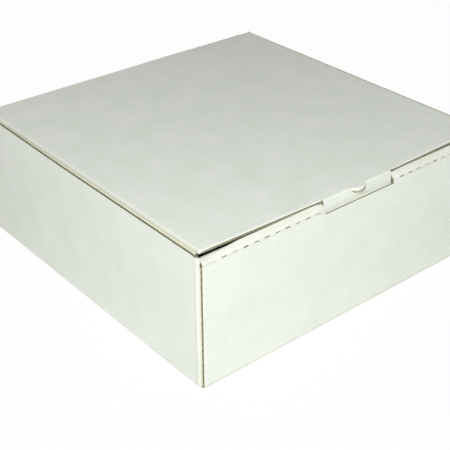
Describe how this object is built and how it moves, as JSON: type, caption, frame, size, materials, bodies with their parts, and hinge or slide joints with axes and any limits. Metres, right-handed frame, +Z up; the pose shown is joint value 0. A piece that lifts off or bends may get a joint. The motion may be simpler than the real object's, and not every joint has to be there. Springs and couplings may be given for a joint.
{
  "type": "cake box",
  "caption": "Square one-piece corrugated cake box with a hinged lid, side flaps and a tab that tucks into a rolled-over perforated front wall.",
  "frame": {"origin": "middle of the underside of the bottom panel, where the box stands", "axes": "+Z up, the front wall with the tab at -Y, +X to the right seen from the front"},
  "size_m": [0.316, 0.3122, 0.1155],
  "materials": {
    "white_lined_board": "matte"
  },
  "bodies": {
    "tray": {"tray": "white_lined_board"},
    "lid": {"lid": "white_lined_board"}
  },
  "joints": [
    {"name": "lid_hinge", "type": "hinge", "parent": "tray", "child": "lid", "pos_m": [0, 0.15527, 0.11477], "axis": [-1, 0, 0], "range_deg": [0, 180]}
  ]
}
